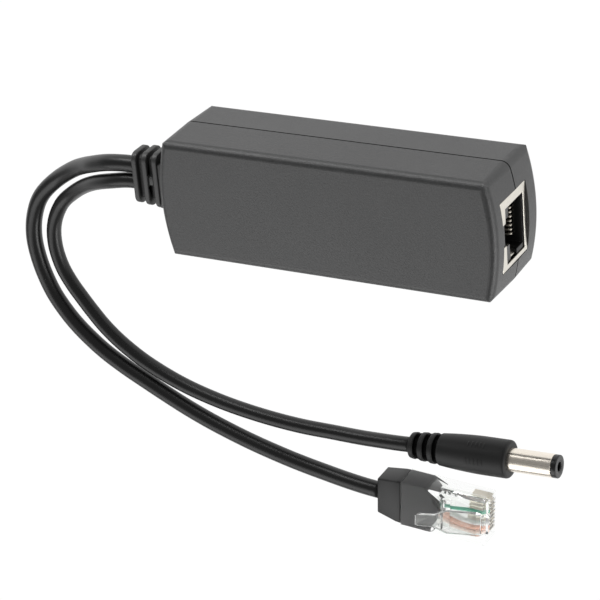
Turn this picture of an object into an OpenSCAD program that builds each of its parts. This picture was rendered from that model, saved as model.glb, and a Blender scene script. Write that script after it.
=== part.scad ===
// In-line power splitter for a network cable: a two-shell case with bowed ends, a shielded
// socket at one end, and a data cord and a power cord from a ribbed gland at the other.
// The case lies on its plain face. +X points to the socket, +Z up to the big face.
// The origin is in the middle of the case, on the surface that it rests on.

/* [Case] */
// Length of the case between the corners of its bowed ends
case_l = 78.2; // [78:0.1:95]
// How far the middle of each end stands out past its corners
end_bow = 2; // [0.6:0.1:3.5]
// Width of the case
case_w = 28.4; // [22.4:0.1:36]
// Thickness of the case
case_t = 23.8; // [23.2:0.1:32]
// Height of the parting line above the resting face
parting_z = 11.9; // [10:0.1:13]
// Thickness of the case walls
wall = 1.8; // [1.5:0.1:2]
// How far the case draws in from the parting line to each face
draft = 0.3; // [0.2:0.05:0.35]
// Radius of the edges round the big face
face_edge_r = 1.7; // [0.8:0.1:1.7]
// Radius of the edges round the resting face
rest_edge_r = 2.5; // [2.5:0.1:3]
// Radius of the four upright corners
corner_r = 2.2; // [2.2:0.05:2.4]
// Height of the lip that locates the shells
lip_h = 1.2; // [0.6:0.1:2]
// Thickness of that lip
lip_t = 0.8; // [0.5:0.05:0.9]
// Width and depth of the shadow groove on the parting line
groove = 0.3; // [0.1:0.05:0.5]

/* [Socket] */
// Width of the socket's shield
jack_w = 16.2; // [16:0.1:17]
// Height of the shield above the board
jack_h = 13.2; // [13:0.1:14]
// Depth of the shield
jack_l = 21; // [18:0.1:22]
// How far the socket sits back from the crown of the end
jack_setback = 0.8; // [0:0.05:1]
// Sideways place of the socket's middle
jack_y = -0.3; // [-0.8:0.1:0.8]
// Thickness of the shield's sheet
sheet = 0.4; // [0.3:0.05:0.5]
// Width of the socket's mouth
mouth_w = 11.8; // [11.7:0.05:12.2]
// Height of the socket's mouth
mouth_h = 9.5; // [8.8:0.1:9.8]
// Edge of the shield below the mouth
mouth_sill = 1.2; // [0.8:0.1:1.6]
// Width of the shield's opening round the mouth
window_w = 13; // [12.6:0.1:13.6]
// Sideways place of that opening from the socket's middle
window_y = -0.6; // [-0.6:0.1:0]
// Width of the latch notch
notch_w = 5.1; // [4.6:0.1:6]
// Height of the channel that takes the plug's body
plug_channel_h = 7; // [6.9:0.05:7.6]

/* [Board] */
// Thickness of the circuit board
board_t = 1.6; // [1:0.1:2]
// Height of the posts under the board
standoff_h = 3; // [2.5:0.1:3.4]
// Gap between the board and the side walls
board_gap = 0.4; // [0.2:0.05:1]
// Diameter of the locating pins on the posts
post_pin_d = 2; // [1.5:0.1:2.4]

/* [Gland] */
// Height of the gland's middle above the resting face
gland_z = 12.7; // [11.8:0.1:13.4]
// How far the gland stands out from the crown of the end
gland_out = 11.1; // [10.8:0.1:14]
// Width of the gland at the cords
gland_w = 12.8; // [12:0.1:14]
// Thickness of the gland at the cords
gland_t = 6.8; // [6.4:0.1:8]
// How much wider and thicker the gland is at the case
gland_flare = 1.6; // [0.4:0.1:2.2]
// Radius of the gland's corners
gland_r = 2; // [1:0.1:2.6]
// Width of each rib of the gland
rib_w = 1.4; // [1:0.05:1.6]
// Width of each slot between ribs
slot_w = 1.4; // [1:0.05:1.5]
// Depth of the slots
slot_depth = 1.3; // [0.6:0.1:1.6]

/* [Cords] */
// Diameter of the data cord
data_d = 4; // [3.6:0.1:4.2]
// Diameter of the power cord
power_d = 3.6; // [3:0.1:4]
// Distance between the two cords at the gland
cord_pitch = 4.1; // [4.1:0.1:4.8]

/* [Power plug] */
// Length of the grip
grip_l = 24.9; // [22:0.1:30]
// Diameter of the grip at its front
grip_d = 8.9; // [8.2:0.1:9]
// Diameter of the grip at the cord
grip_rear_d = 6.2; // [5.6:0.1:6.6]
// Outer diameter of the barrel
barrel_d = 5.5; // [5.4:0.05:5.6]
// Bore at the tip, for the centre pin of a socket
barrel_bore_d = 2.1; // [2:0.05:2.6]
// Length of the barrel's metal in front of the grip
barrel_l = 10.5; // [9:0.1:11]
// Length of the black ring at the tip
tip_l = 1.3; // [1:0.1:2]
// Turn of the power plug about the vertical
power_plug_yaw = 2.2; // [-10:0.1:10]

/* [Data plug] */
// Length of the clear body
plug_l = 21.5; // [21.3:0.05:21.7]
// Width of the clear body
plug_w = 11.68; // [11.4:0.01:11.8]
// Height of the clear body
plug_h = 6.7; // [6.5:0.05:6.9]
// Length of the boot behind the clear body
boot_l = 6.4; // [5:0.1:9]
// Distance between contacts
pin_pitch = 1.02; // [1:0.01:1.04]
// Height of the latch's free end above the clear body
latch_rise = 5; // [3:0.1:6]
// Width of the latch at its root
latch_w = 6; // [5.6:0.1:6.4]
// Width of the latch's thumb end
latch_tip_w = 3.2; // [2.8:0.1:4]
// Turn of the data plug about the vertical
data_plug_yaw = -4; // [-10:0.1:10]

/* [Fits] */
// Gap round what passes through the case wall
pass_gap = 0.15; // [0.1:0.05:0.4]
// Gap between the lip and its seat
lip_gap = 0.1; // [0.05:0.05:0.2]
// Gap round pins, pegs and legs in the board
pin_gap = 0.1; // [0.05:0.05:0.3]

/* [Hidden] */
$fn = 48;
over = 1;

// Case: each end is part of a circle through its two corners and its crown
end_x = case_l / 2 + end_bow;
bow_r = (case_w * case_w / 4 + end_bow * end_bow) / (2 * end_bow);
bow_x = end_x - bow_r;
lip_out = wall - lip_t;

// Board and socket
board_z = wall + standoff_h;
board_top = board_z + board_t;
board_x0 = wall + 2.8 - case_l / 2;
board_x1 = case_l / 2 - wall;
board_w = case_w - 2 * wall - 2 * board_gap;
post_d = 4.6;
post_inset = 3.2;
jack_x = end_x - jack_setback;
jack_back = jack_x - jack_l;
jack_top = board_top + jack_h;
post_x = [board_x0 + post_inset, jack_back - 1.4];
post_y = board_w / 2 - post_inset + 0.4;
mouth_z = board_top + mouth_sill;
channel_z = mouth_z + 0.2;
latch_channel_w = 6.4;
channel_l = 15;
tray_w = 8 * pin_pitch + 0.6;
tray_depth = 0.9;
contact_w = 0.45;
contact_t = 0.3;
contact_front = 3.2;
contact_reach = 9.5;
contact_rise = 2.6;
peg_d = 3;
peg_x = jack_x - 12;
peg_y = 5.7;
leg_x = jack_x - 15;
leg_w = 1.6;
spring_w = 3;
spring_l = 4.4;
spring_x = jack_x - sheet - 0.4 - spring_l;
spring_z = channel_z + plug_channel_h - spring_w - 0.4;
spring_clear = 0.2;

// Parts on the board, in columns from the gland's end
can_d = 8;
can_h = 11.6;
can_foot = can_d + 0.4;
coil_d = 5;
core_x = 13;
core_y = 13.6;
core_z = 6;
core_lift = 2.6;
leg_mid = 3.6;
core_gap_x = 3.1;
core_gap_y = 9.4;
bobbin_wall = 0.5;
bobbin_flange = 0.7;
bobbin_rise = 1.6;
fit = 0.1;
net_l = 12.8;
net_w = 7.4;
net_lead = 1.5;
net_h = 5.6;
block_h = 2.2;
chip_h = 1.5;
opto_h = 2;
choke_h = 3.4;
part_gap = 0.5;
lead_room = 4.8;
col_caps = board_x0 + lead_room + can_foot / 2;
col_coil = col_caps + (can_foot + coil_d) / 2 + part_gap;
col_power = col_coil + (coil_d + core_x) / 2 + part_gap;
col_input = col_power + (core_x + can_foot) / 2 + part_gap;
col_network = jack_back - net_w / 2 - net_lead - 2 * part_gap;
can_y = (board_w - can_foot) / 2 - part_gap;

// Gland and cords
gland_end = -(end_x + gland_out);
gland_neck_w = gland_w + gland_flare;
gland_neck_t = gland_t + gland_flare;
gland_inner = bow_r - wall - 0.2 - sqrt(pow(bow_r - wall, 2) - pow(gland_neck_w / 2 + 1.2, 2));
flange_x = -(end_x - wall) + max(0, gland_inner) + 0.5;
flange_t = 1.6;
lead_x = flange_x + flange_t;
lead_bend = 1.6;
lead_run = 1.6;

// The data cord's route from the gland to the boot, lying on the surface from its eighth point on
data_route = [
    [gland_end, cord_pitch / 2, gland_z],
    [-56, 1.9, 12.5], [-60.5, 1.2, 11.8], [-64, 0.1, 10.5], [-67.5, -1.3, 8.9], [-72, -3.4, 6.3],
    [-76.5, -5.8, 4.1], [-82, -9.4, 2.3], [-86.2, -12.9, 2], [-88.8, -16, 2], [-90.5, -19.5, 2],
    [-91.6, -23.5, 2], [-91.9, -28, 2], [-91.2, -33, 2], [-89.9, -37.5, 2], [-88.2, -41.5, 2],
    [-86, -45, 2], [-83.5, -48.2, 2], [-80.2, -51.5, 2], [-75.5, -55.3, 2], [-70, -58.7, 2],
    [-64.5, -61.6, 2], [-59, -64.4, 2], [-53.6, -67, 2], [-48.2, -69.3, 2], [-42.5, -71.4, 2],
    [-36, -73.5, 2], [-29, -75.4, 2], [-22.5, -76.9, 2], [-16.5, -77.9, 2.2], [-10.5, -78.5, 2.8],
    [-5, -78.8, 3.4], [-1, -79, 3.6]];
// The power cord's route from the gland to the grip
power_route = [
    [gland_end, -cord_pitch / 2, gland_z],
    [-56, -2.3, 12.5], [-61, -3.6, 11.5], [-67, -5.9, 8.9], [-73, -9.1, 5.5], [-78.3, -12.7, 2.9],
    [-82, -15.8, 1.9], [-84, -18.6, 1.8], [-85.3, -21.4, 1.8], [-86, -24.1, 1.8],
    [-86.2, -27, 1.8], [-85.9, -30.2, 1.8], [-84.8, -34.1, 1.8], [-82.8, -37.9, 1.8],
    [-80.2, -41.6, 1.8], [-77.6, -45, 1.8], [-74.9, -48.2, 1.8], [-71.6, -51.3, 1.8],
    [-68, -54, 1.8], [-63.8, -56.6, 1.8], [-58.2, -59.3, 1.8], [-52.4, -61.5, 1.8],
    [-45.5, -63.4, 1.8], [-38.5, -64.8, 1.8], [-30.3, -65.9, 1.8], [-22, -66.5, 1.8],
    [-14, -66.5, 1.9], [-6.5, -66.1, 2.6], [-1, -65.4, 3.5], [4, -64.7, 4.3], [8.4, -64.3, 4.5]];
cord_sides = 8;

// Plugs, each placed at the end of its cord
data_end = data_route[len(data_route) - 1];
power_end = power_route[len(power_route) - 1];
grip_slots = 3;
grip_rib = 1.3;
grip_slot = 1.25;
grip_core_r = 2.3;
grip_taper = 10.8;
grip_round = 1;
tip_round = 0.3;
nose_x = boot_l + plug_l;
fill_w = 10.2;
fill_l = 10;
fill_tip_w = 5.6;
fill_z = 1.1;
fill_h = 4.6;
wire_d = 0.9;
wire_z = 3.15;
wire_bay_w = 8 * pin_pitch + 0.5;
wire_end = nose_x - 1.5;
blade_t = 0.35;
blade_l = 4.6;
blade_x = nose_x - 0.7 - blade_l;
blade_z = 0.4;
latch_t = 0.8;
latch_root_x = nose_x - 1;
latch_tip_x = boot_l + 6;
latch_waist_x = nose_x - 8.5;
latch_neck_x = latch_waist_x - 3;
latch_bevel = 0.4;

function unit(v) = v / norm(v);
function heading(yaw) = [cos(yaw), sin(yaw), 0];
function pin_y(pin) = (pin - 4.5) * pin_pitch;

// Rounded rectangle centred on the origin, with true round corners
module rounded(w, h, r) {
    square([w - 2 * r, h], center = true);
    square([w, h - 2 * r], center = true);
    for (x = [-1, 1], y = [-1, 1])
        translate([x * (w / 2 - r), y * (h / 2 - r)]) circle(r);
}

// Rounded block along X, from x0 to x1
module slab(x0, x1, w, h, r) {
    translate([x0, 0, 0])
        rotate([90, 0, 90])
            linear_extrude(x1 - x0) rounded(w, h, r);
}

module block(lo, hi) {
    translate(lo) cube(hi - lo);
}

// Plan of the case, drawn in by inset on every side, with its ends as arcs of two large circles
module case_plan(inset) {
    intersection() {
        square([2 * end_x, case_w - 2 * inset], center = true);
        end_plan(inset);
        mirror([1, 0]) end_plan(inset);
    }
}

// Everything on the near side of the +X end, as a circle and what lies behind its centre
module end_plan(inset) {
    translate([bow_x, 0]) circle(bow_r - inset, $fn = 180);
    translate([-end_x - over, -case_w]) square([bow_x + end_x + over, 2 * case_w]);
}

// Half section of one shell, h high and half wide at the parting line, with its edge rounded to r
module shell_section(half, h, r) {
    slant = norm([h, draft]);
    y = half - (r * slant + draft * (h - r)) / h;
    polygon([[0, 0], [half, 0], [y + r * h / slant, h - r + r * draft / slant], [y, h - r],
        [y, h], [0, h]]);
    translate([y, h - r]) circle(r);
}

module case_section(half) {
    translate([0, parting_z]) {
        shell_section(half, case_t - parting_z, face_edge_r);
        mirror([0, 1]) shell_section(half, parting_z, rest_edge_r);
    }
}

// The +X end's bow as a turned disc, with all that lies behind its centre
module end_form() {
    translate([bow_x, 0, 0]) rotate_extrude($fn = 180) case_section(bow_r);
    block([-end_x - over, -case_w, 0], [bow_x, case_w, case_t]);
}

// What an upright corner loses to its round, which narrows with the draft
module corner_cut() {
    yc = case_w / 2 - corner_r;
    xc = bow_x + sqrt(pow(bow_r - corner_r, 2) - yc * yc);
    out = unit([xc - bow_x, yc]);
    rim = [bow_x, 0] + bow_r * out;
    difference() {
        translate([0, 0, -over])
            linear_extrude(case_t + 2 * over)
                polygon([[xc, yc], [xc, case_w / 2 + over], [rim[0] + over, case_w / 2 + over],
                    rim + over * out, rim]);
        translate([xc, yc, parting_z]) {
            cylinder(r1 = corner_r, r2 = corner_r - draft, h = case_t - parting_z);
            mirror([0, 0, 1]) cylinder(r1 = corner_r, r2 = corner_r - draft, h = parting_z);
        }
    }
}

module case_form() {
    difference() {
        intersection() {
            rotate([90, 0, 90])
                linear_extrude(2 * end_x, center = true)
                    for (s = [0, 1]) mirror([s, 0]) case_section(case_w / 2);
            end_form();
            mirror([1, 0, 0]) end_form();
        }
        for (x = [0, 1], y = [0, 1])
            mirror([x, 0, 0]) mirror([0, y, 0]) corner_cut();
    }
}

module case_cavity() {
    translate([0, 0, wall])
        linear_extrude(case_t - 2 * wall) case_plan(wall);
}

module case_openings() {
    block([jack_back, jack_y - jack_w / 2 - pass_gap, board_top - pass_gap],
        [end_x + over, jack_y + jack_w / 2 + pass_gap, jack_top + pass_gap]);
    translate([0, 0, gland_z])
        slab(-end_x - over, -end_x + wall + 3, gland_neck_w + 2 * pass_gap,
            gland_neck_t + 2 * pass_gap, gland_r);
}

// Ring between two insets of the plan
module plan_ring(outer, inner, z0, z1) {
    translate([0, 0, z0])
        linear_extrude(z1 - z0)
            difference() {
                case_plan(outer);
                case_plan(inner);
            }
}

// Rib on a side wall of the top shell, down to the board's edge
module hold_down(x) {
    rib_t = 1.2;
    rib_depth = 2.2;
    y_wall = case_w / 2 - wall;
    clear = board_gap - 0.1;
    block([x - rib_t / 2, y_wall - rib_depth, board_top],
        [x + rib_t / 2, y_wall - clear, case_t - wall]);
    block([x - rib_t / 2, y_wall - rib_depth, parting_z + lip_h + lip_gap],
        [x + rib_t / 2, y_wall + wall / 2, case_t - wall]);
}

module top_shell() {
    color("#4a4a4b")
        difference() {
            union() {
                difference() {
                    case_form();
                    case_cavity();
                    block([-end_x - over, -case_w, -over], [end_x + over, case_w, parting_z]);
                    translate([0, 0, parting_z - over])
                        linear_extrude(lip_h + lip_gap + over) case_plan(lip_out - lip_gap);
                }
                for (x = [col_coil, col_network - net_w / 2 - 0.7], y = [0, 1])
                    mirror([0, y, 0]) hold_down(x);
            }
            case_openings();
        }
}

module bottom_shell() {
    color("#4a4a4b") {
        difference() {
            union() {
                difference() {
                    case_form();
                    case_cavity();
                    block([-end_x - over, -case_w, parting_z],
                        [end_x + over, case_w, case_t + over]);
                }
                plan_ring(lip_out, wall, parting_z - over, parting_z + lip_h);
            }
            plan_ring(-over, groove, parting_z - groove, parting_z + over);
            case_openings();
        }
        for (x = post_x, y = [-post_y, post_y]) translate([x, y, wall]) {
            cylinder(d = post_d, h = standoff_h);
            cylinder(d = post_pin_d, h = standoff_h + board_t + 0.6);
        }
    }
}

module circuit_board() {
    color("#1f5b34")
        difference() {
            block([board_x0, -board_w / 2, board_z], [board_x1, board_w / 2, board_top]);
            for (x = post_x, y = [-post_y, post_y])
                translate([x, y, board_z - over])
                    cylinder(d = post_pin_d + 2 * pin_gap, h = board_t + 2 * over);
            for (y = [-peg_y, peg_y])
                translate([peg_x, jack_y + y, board_z - over])
                    cylinder(d = peg_d + 2 * pin_gap, h = board_t + 2 * over);
            for (y = [-1, 1])
                translate([leg_x, jack_y + y * (jack_w - sheet) / 2, board_z + board_t / 2])
                    cube([leg_w + 2 * pin_gap, sheet + 2 * pin_gap, board_t + over],
                        center = true);
        }
}

module jack_shield() {
    half = jack_w / 2;
    color("#cfcbc2")
        translate([0, jack_y, 0])
            difference() {
                union() {
                    block([jack_back, -half, board_top], [jack_x, half, jack_top]);
                    for (y = [-1, 1])
                        translate([leg_x, y * (half - sheet / 2), (board_top + board_z) / 2])
                            cube([leg_w, sheet, board_t + over], center = true);
                }
                block([jack_back + sheet, sheet - half, board_top - over],
                    [jack_x - sheet, half - sheet, jack_top - sheet]);
                block([jack_x - 2 * sheet, window_y - window_w / 2, mouth_z],
                    [jack_x + over, window_y + window_w / 2, mouth_z + mouth_h]);
                block([jack_x - 2 * sheet, -notch_w / 2, mouth_z],
                    [jack_x + over, notch_w / 2, jack_top + over]);
            }
    color("#cfcbc2")
        translate([0, jack_y, 0])
            for (s = [0, 1]) mirror([0, s, 0]) ground_spring();
}

// Ground spring: a bent finger from the side of the shield, in at the plug and back to the wall
module ground_spring() {
    y0 = jack_w / 2 - sheet;
    y1 = mouth_w / 2 + spring_clear;
    translate([0, 0, spring_z])
        linear_extrude(spring_w)
            polygon([[spring_x, y0 + sheet / 2], [spring_x, y0], [spring_x + spring_l * 0.7, y1],
                [spring_x + spring_l, y1 + 0.5], [spring_x + spring_l, y1 + 0.5 + sheet * 0.8],
                [spring_x + spring_l * 0.7, y1 + sheet * 0.8],
                [spring_x + sheet, y0 + sheet / 2]]);
}

module jack_insert() {
    half = jack_w / 2 - sheet;
    front = jack_x - sheet;
    color("#161616")
        translate([0, jack_y, 0])
            difference() {
                union() {
                    block([jack_back + sheet, -half, board_top], [front, half, jack_top - sheet]);
                    for (y = [-peg_y, peg_y])
                        translate([peg_x, y, board_z - 0.6])
                            cylinder(d = peg_d, h = board_t + over);
                }
                block([front - channel_l, -mouth_w / 2, channel_z],
                    [front + over, mouth_w / 2, channel_z + plug_channel_h]);
                block([front - channel_l, -latch_channel_w / 2, channel_z],
                    [front + over, latch_channel_w / 2, mouth_z + mouth_h]);
                block([jack_back + sheet + 2, -tray_w / 2, channel_z - tray_depth],
                    [front - 2.2, tray_w / 2, channel_z + over]);
                block([jack_back + sheet + 2, -tray_w / 2, channel_z - tray_depth],
                    [front - channel_l + over, tray_w / 2, channel_z + 1.2]);
                for (s = [0, 1])
                    mirror([0, s, 0])
                        block([spring_x - pin_gap, mouth_w / 2 - over, spring_z - pin_gap],
                            [front + over, half + over, spring_z + spring_w + pin_gap]);
            }
}

// One spring contact: a run along the tray, a bend at the front, and a spring back up
module jack_contact() {
    z0 = channel_z - tray_depth;
    x_front = jack_x - contact_front;
    x_rear = jack_back + sheet + 3;
    x_tip = x_front - contact_reach;
    z_tip = channel_z + contact_rise;
    rotate([90, 0, 0])
        translate([0, 0, -contact_w / 2])
            linear_extrude(contact_w)
                polygon([[x_rear, z0], [x_front, z0], [x_front + 0.25, z0 + 0.4],
                    [x_front, z0 + 0.85], [x_tip, z_tip], [x_tip - 0.6, z_tip - 0.3],
                    [x_tip - 0.5, z_tip - 0.3 - contact_t], [x_tip + 0.1, z_tip - contact_t],
                    [x_front - 0.15, z0 + 0.55], [x_front - 0.05, z0 + 0.4],
                    [x_front - 0.2, z0 + contact_t], [x_rear, z0 + contact_t]]);
}

module jack_contacts() {
    color("#d8b24a")
        for (pin = [1:8])
            translate([0, jack_y + pin_y(pin), 0]) jack_contact();
}

// Gull-wing leads on both sides of a chip body, count to a side
module chip(l, w, h, count, pitch, lead_w, lead_l) {
    translate([-l / 2, -w / 2, 0.1]) cube([l, w, h]);
    for (i = [0:count - 1], s = [0, 1])
        mirror([0, s, 0])
            translate([(i - (count - 1) / 2) * pitch, w / 2, 0])
                rotate([90, 0, 90])
                    translate([0, 0, -lead_w / 2])
                        linear_extrude(lead_w)
                            polygon([[-0.2, h * 0.4], [lead_l * 0.5, h * 0.4],
                                [lead_l * 0.6, 0.25], [lead_l, 0.25], [lead_l, 0],
                                [lead_l * 0.4, 0], [lead_l * 0.3, h * 0.4 - 0.25],
                                [-0.2, h * 0.4 - 0.25]]);
}

module on_board(x, y) {
    translate([x, y, board_top]) children();
}

module under_board(x, y) {
    translate([x, y, board_z]) rotate([180, 0, 0]) children();
}

module network_transformer() {
    color("#202022")
        on_board(col_network, 0)
            rotate([0, 0, 90]) chip(net_l, net_w, net_h, 8, 1.27, 0.4, net_lead);
}

module can_capacitor() {
    translate([0, 0, 0.5]) cube([can_foot, can_foot, 1], center = true);
    rotate_extrude() {
        square([can_d / 2, can_h - 0.6]);
        square([can_d / 2 - 0.6, can_h]);
        translate([can_d / 2 - 0.6, can_h - 0.6]) circle(0.6, $fn = 24);
    }
}

module input_capacitor() {
    color("#8f98a5")
        on_board(col_input, can_y) can_capacitor();
}

module output_capacitors() {
    color("#8f98a5")
        for (s = [-1, 1])
            on_board(col_caps, s * can_y) can_capacitor();
}

// Power transformer: core legs along Y, its middle leg inside the bobbin
module power_place() {
    on_board(col_power, (board_w - core_y) / 2 - 2 * part_gap) children();
}

module power_transformer_core() {
    color("#3a3a3d")
        power_place() translate([0, 0, core_lift + core_z / 2])
            difference() {
                cube([core_x, core_y, core_z], center = true);
                for (s = [-1, 1])
                    translate([s * (leg_mid + core_gap_x) / 2, 0, 0])
                        cube([core_gap_x, core_gap_y, core_z + over], center = true);
            }
}

module power_transformer_bobbin() {
    reach = leg_mid / 2 + core_gap_x - fit;
    tube_x = leg_mid + 2 * fit + 2 * bobbin_wall;
    tube_z = core_z + 2 * fit + 2 * bobbin_wall;
    mid_z = core_lift + core_z / 2;
    flange_y = core_gap_y / 2 - fit - bobbin_flange;
    foot_y = (core_y - core_gap_y) / 2 + bobbin_flange;
    color("#d9cfae")
        power_place() {
            translate([0, 0, mid_z])
                difference() {
                    union() {
                        cube([tube_x, core_gap_y - 2 * fit, tube_z], center = true);
                        for (s = [-1, 1])
                            translate([0, s * (flange_y + bobbin_flange / 2), 0])
                                cube([2 * reach, bobbin_flange, core_z + 2 * bobbin_rise],
                                    center = true);
                    }
                    cube([leg_mid + 2 * fit, core_gap_y + over, core_z + 2 * fit], center = true);
                }
            for (s = [-1, 1])
                translate([0, s * (flange_y + foot_y / 2), (core_lift - fit) / 2])
                    cube([2 * reach + 1, foot_y, core_lift - fit], center = true);
        }
}

module power_transformer_winding() {
    depth = core_gap_y - 2 * fit - 2 * bobbin_flange;
    mid_z = core_lift + core_z / 2;
    color("#b8862b")
        power_place() translate([0, 0, mid_z])
            rotate([90, 0, 0])
                linear_extrude(depth, center = true)
                    difference() {
                        rounded(leg_mid + 2 * core_gap_x - 4 * fit, core_z + 1.5 * bobbin_rise, 1.5);
                        square([leg_mid + 2 * fit + 2 * bobbin_wall,
                            core_z + 2 * fit + 2 * bobbin_wall], center = true);
                    }
}

module bridge_rectifiers() {
    color("#1c1c1e")
        for (i = [0, 1])
            under_board(col_input, (i - 0.5) * 6.8)
                rotate([0, 0, 90]) chip(4.7, 3.8, block_h, 2, 2.5, 0.7, 1.3);
}

module controller_chip() {
    color("#1c1c1e")
        under_board(col_power, 0) chip(4.9, 3.9, chip_h, 4, 1.27, 0.4, 1.05);
}

module opto_isolator() {
    color("#e6e6e0")
        under_board(col_coil, -3.6) chip(4.4, 4, opto_h, 2, 2.54, 0.4, 1.3);
}

module output_diode() {
    color("#1c1c1e")
        under_board(col_coil, 3.6) chip(3.6, 4.4, block_h, 1, 2.5, 2, 0.6);
}

module output_inductor() {
    color("#2c2c30")
        on_board(col_coil, 0) {
            translate([0, 0, 0.3]) cube([coil_d, coil_d, 0.6], center = true);
            cylinder(d = coil_d, h = 1);
            cylinder(d = coil_d * 0.72, h = choke_h);
            translate([0, 0, choke_h - 0.8]) cylinder(d = coil_d, h = 0.8);
        }
}

module chip_part(l, w, h) {
    translate([0, 0, h / 2]) cube([l, w, h], center = true);
}

module ceramic_capacitors() {
    color("#b59a6e")
        for (x = [col_power - 4.6, col_network], y = [-2.4, 2.4])
            under_board(x, y) chip_part(2, 1.2, 0.9);
}

module chip_resistors() {
    color("#17171a")
        for (i = [0:4])
            under_board(col_power + 4.6, (i - 2) * 1.8) chip_part(1.6, 0.8, 0.5);
}

// Inner wire: out of the gland along X, round a quarter bend and down to the board
module inner_lead(y, d) {
    drop = gland_z - lead_bend - board_top;
    translate([lead_x, y, gland_z]) {
        rotate([0, 90, 0]) cylinder(d = d, h = lead_run, $fn = 24);
        translate([lead_run, 0, -lead_bend])
            rotate([90, 0, 0])
                rotate_extrude(angle = 90, $fn = 48)
                    translate([lead_bend, 0]) circle(d = d, $fn = 24);
        translate([lead_run + lead_bend, 0, -lead_bend - drop])
            cylinder(d = d, h = drop, $fn = 24);
    }
}

module data_leads() {
    color("#e07b2a")
        for (i = [0:3])
            inner_lead(cord_pitch / 2 - 1 + i * 1.3, 1);
}

module power_leads() {
    color("#c03028")
        for (i = [0, 1])
            inner_lead(-cord_pitch / 2 - i * 2, 1.5);
}

// Gland: a flared block with four slots round it, every second one bridged at its middle
module cable_gland() {
    step = rib_w + slot_w;
    bridge = 2.2;
    color("#3f4041")
        translate([0, 0, gland_z]) {
            for (i = [0:4]) {
                x0 = gland_end + i * step;
                grow = gland_flare * min(1, (i + 0.5) / 4);
                x1 = i == 4 ? flange_x : x0 + rib_w;
                slab(x0, x1, gland_w + grow, gland_t + grow, gland_r);
            }
            slab(gland_end + rib_w / 2, flange_x, gland_w - 2 * slot_depth + 0.4,
                gland_t - 2 * slot_depth + 0.4, gland_r / 2);
            for (i = [1, 3]) {
                x0 = gland_end + i * step + rib_w / 2;
                h = gland_t + gland_flare * (i - 0.5) / 4;
                block([x0, -bridge / 2, -h / 2], [x0 + step, bridge / 2, h / 2]);
            }
            slab(flange_x, flange_x + flange_t, gland_neck_w + 2, gland_neck_t + 2, gland_r);
        }
}

// Tube of radius r along pts, with its two end faces square to d0 and d1
module tube(pts, r, d0, d1) {
    n = len(pts);
    k = cord_sides;
    dirs = [for (i = [0:n - 1]) i == 0 ? d0 : i == n - 1 ? d1 : unit(pts[i + 1] - pts[i - 1])];
    verts = [for (i = [0:n - 1]) let (side = unit(cross([0, 0, 1], dirs[i])),
            top = cross(dirs[i], side))
        for (j = [0:k - 1]) let (a = 360 * (j + 0.5) / k)
            pts[i] + r * (cos(a) * side + sin(a) * top)];
    walls = [for (i = [0:n - 2], j = [0:k - 1]) let (a = i * k + j, b = i * k + (j + 1) % k)
        each [[a, b + k, b], [a, a + k, b + k]]];
    caps = [[for (j = [0:k - 1]) j], [for (j = [0:k - 1]) n * k - 1 - j]];
    polyhedron(verts, concat(walls, caps));
}

module data_cable() {
    color("#222324") tube(data_route, data_d / 2, [-1, 0, 0], heading(data_plug_yaw));
}

module dc_cable() {
    color("#222324") tube(power_route, power_d / 2, [-1, 0, 0], heading(power_plug_yaw));
}

// Ring in the plug's half section: radii r0 to r1, from x0 to x1 along the axis
module ring(r0, r1, x0, x1) {
    translate([r0, x0]) square([r1 - r0, x1 - x0]);
}

// Grip: three ribs at the cord, then a body that swells to its full size and rounds off
module dc_plug_grip() {
    pitch = grip_rib + grip_slot;
    body_x = grip_slots * pitch;
    rear_r = grip_rear_d / 2;
    front_r = grip_d / 2;
    body_r = front_r - 0.5 * (front_r - rear_r);
    rise = (body_r - rear_r) / body_x;
    color("#28292a")
        turned_on_plug() {
            ring(0, grip_core_r, 0, body_x + 1);
            for (x = [0:pitch:body_x - grip_rib])
                polygon([[0, x], [rear_r - 0.3 + rise * x, x], [rear_r + rise * x, x + 0.3],
                    [rear_r + rise * (x + grip_rib), x + grip_rib], [0, x + grip_rib]]);
            polygon([[0, body_x],
                for (t = [0:0.125:1])
                    [front_r - (front_r - body_r) * pow(1 - t, 1.7), body_x + t * grip_taper],
                [front_r, grip_l - grip_round], [front_r - grip_round, grip_l], [0, grip_l]]);
            translate([front_r - grip_round, grip_l - grip_round]) circle(grip_round);
        }
}

module turned_on_plug() {
    translate(power_end)
        rotate([0, 0, power_plug_yaw])
            rotate([0, 90, 0])
                rotate_extrude($fn = 64) children();
}

barrel_wall = 0.4;
module dc_plug_sleeve() {
    color("#d4cdbd")
        turned_on_plug()
            ring(barrel_d / 2 - barrel_wall, barrel_d / 2, grip_l, grip_l + barrel_l);
}

module dc_plug_insulator() {
    inner_wall = 0.35;
    color("#151515")
        turned_on_plug() {
            ring(barrel_bore_d / 2 + inner_wall, barrel_d / 2 - barrel_wall, grip_l,
                grip_l + barrel_l + 0.2);
            translate([0, grip_l + barrel_l])
                polygon([[barrel_bore_d / 2, 0], [barrel_d / 2, 0],
                    [barrel_d / 2, tip_l - tip_round], [barrel_d / 2 - tip_round, tip_l],
                    [barrel_bore_d / 2, tip_l]]);
        }
}

module dc_plug_inner_contact() {
    inner_wall = 0.35;
    color("#c9a24a")
        turned_on_plug()
            ring(barrel_bore_d / 2, barrel_bore_d / 2 + inner_wall, grip_l, grip_l + barrel_l);
}

module data_plug_place() {
    translate([data_end[0], data_end[1], 0])
        rotate([0, 0, data_plug_yaw]) children();
}

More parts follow.
